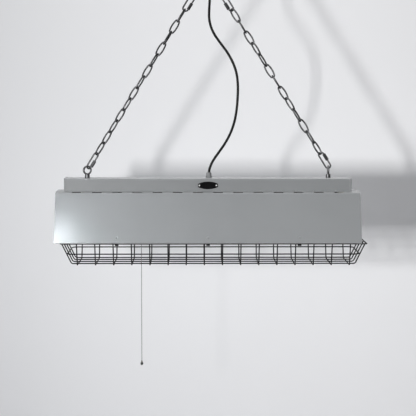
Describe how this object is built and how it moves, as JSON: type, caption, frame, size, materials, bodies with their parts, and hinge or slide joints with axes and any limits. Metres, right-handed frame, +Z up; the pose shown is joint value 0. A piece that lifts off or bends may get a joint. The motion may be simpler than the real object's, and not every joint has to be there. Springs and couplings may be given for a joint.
{
  "type": "industrial pendant light",
  "caption": "Long trough reflector with vent slots under a folded spine, hung on two leaning chains, with a tube lamp, a wire guard and a pull-cord switch.",
  "frame": {"origin": "middle of the ceiling plate's top face, between its two screw holes", "axes": "+Z up out of the ceiling plate, +X along the light to the right, -Y the front with the badge"},
  "size_m": [0.761, 0.208, 0.9412],
  "materials": {
    "grey_paint": "satin",
    "ceiling_paint": "satin",
    "chain_steel": "satin",
    "link_steel": "satin",
    "eye_steel": "satin",
    "zinc_steel": "satin",
    "guard_steel": "satin",
    "gland_metal": "satin",
    "badge_enamel": "gloss",
    "black_rubber": "matte",
    "lamp_glass": "satin",
    "lamp_metal": "satin",
    "brass": "satin",
    "white_plastic": "gloss",
    "choke_enamel": "satin",
    "lead_insulation": "matte",
    "pull_string": "matte",
    "bead_plastic": "gloss"
  },
  "bodies": {
    "ceiling": {"ceiling_plate": "ceiling_paint", "left_ceiling_eye": "eye_steel", "right_ceiling_eye": "eye_steel", "ceiling_cord_grip": "black_rubber"},
    "hanger": {"left_chain": "chain_steel", "right_chain": "chain_steel", "left_lower_quick_link": "link_steel", "left_upper_quick_link": "link_steel", "right_lower_quick_link": "link_steel", "right_upper_quick_link": "link_steel", "power_cord": "black_rubber"},
    "left_lower_sleeve": {"left_lower_sleeve": "link_steel"},
    "left_upper_sleeve": {"left_upper_sleeve": "link_steel"},
    "right_lower_sleeve": {"right_lower_sleeve": "link_steel"},
    "right_upper_sleeve": {"right_upper_sleeve": "link_steel"},
    "fixture": {"left_eye_bolt": "eye_steel", "right_eye_bolt": "eye_steel", "eye_washers": "zinc_steel", "eye_nuts": "zinc_steel", "spine_channel": "grey_paint", "spine_end_caps": "grey_paint", "badge_plate": "badge_enamel", "badge_rivets": "zinc_steel", "gland_body": "gland_metal", "gland_cap": "gland_metal", "gland_locknut": "gland_metal", "reflector_shell": "grey_paint", "left_end_plate": "grey_paint", "right_end_plate": "grey_paint", "spine_bridges": "zinc_steel", "reflector_screws": "zinc_steel", "front_guard_clips": "guard_steel", "rear_guard_clips": "guard_steel", "clip_rivets": "grey_paint", "left_lampholder": "white_plastic", "right_lampholder": "white_plastic", "starter_holder": "white_plastic", "choke": "choke_enamel", "capacitor": "lamp_metal", "capacitor_clip": "zinc_steel", "terminal_block": "white_plastic", "earth_stud": "brass", "internal_wiring": "lead_insulation", "switch_lid": "white_plastic", "switch_body": "white_plastic", "lever_pin": "zinc_steel"},
    "guard": {"guard_rim": "guard_steel", "guard_mid_ring": "guard_steel", "guard_long_wires": "guard_steel", "guard_cross_wires": "guard_steel"},
    "lamp": {"lamp_tube": "lamp_glass", "lamp_caps": "lamp_metal", "lamp_pins": "brass", "lampholder_rotors": "white_plastic"},
    "starter": {"starter": "white_plastic"},
    "pull": {"pull_ferrule": "brass", "pull_cord": "pull_string", "pull_bead": "bead_plastic"},
    "switch_lever": {"switch_lever": "brass"}
  },
  "joints": [
    {"name": "pendant_swing", "type": "hinge", "parent": "ceiling", "child": "hanger", "pos_m": [0, 0, -0.023], "axis": [1, 0, 0], "range_deg": [-25, 25], "deforming": ["power_cord"]},
    {"name": "fixture_tilt", "type": "hinge", "parent": "hanger", "child": "fixture", "pos_m": [0, 0, -0.45038], "axis": [1, 0, 0], "range_deg": [-8, 8], "deforming": ["power_cord"]},
    {"name": "guard_drop", "type": "slide", "parent": "fixture", "child": "guard", "axis": [0, 0, -1], "range_m": [0, 0.15]},
    {"name": "lamp_twist", "type": "hinge", "parent": "fixture", "child": "lamp", "pos_m": [0, 0, -0.55616], "axis": [1, 0, 0], "range_deg": [0, 90]},
    {"name": "starter_twist", "type": "hinge", "parent": "fixture", "child": "starter", "pos_m": [0.338, 0, -0.50996], "axis": [0, 0, 1], "range_deg": [0, 40]},
    {"name": "cord_pull", "type": "slide", "parent": "fixture", "child": "pull", "axis": [0, 0, -1], "range_m": [0, 0.008], "stiffness_N_per_m": 300},
    {"name": "lever_turn", "type": "hinge", "parent": "fixture", "child": "switch_lever", "pos_m": [-0.164, -0.024, -0.51936], "axis": [1, 0, 0], "range_deg": [0, 37]},
    {"name": "left_lower_sleeve_turn", "type": "slide", "parent": "hanger", "child": "left_lower_sleeve", "axis": [0.5247, -0.0047, 0.8513], "range_m": [0, 0.0125]},
    {"name": "left_upper_sleeve_turn", "type": "slide", "parent": "hanger", "child": "left_upper_sleeve", "axis": [0.5247, -0.0047, 0.8513], "range_m": [0, 0.0125]},
    {"name": "right_lower_sleeve_turn", "type": "slide", "parent": "hanger", "child": "right_lower_sleeve", "axis": [0.5285, 0, -0.8489], "range_m": [0, 0.0125]},
    {"name": "right_upper_sleeve_turn", "type": "slide", "parent": "hanger", "child": "right_upper_sleeve", "axis": [-0.5285, 0, 0.8489], "range_m": [0, 0.0125]}
  ],
  "couplings": [
    {"joint": "lever_turn", "follows": "cord_pull", "rad_per_m": 80}
  ]
}
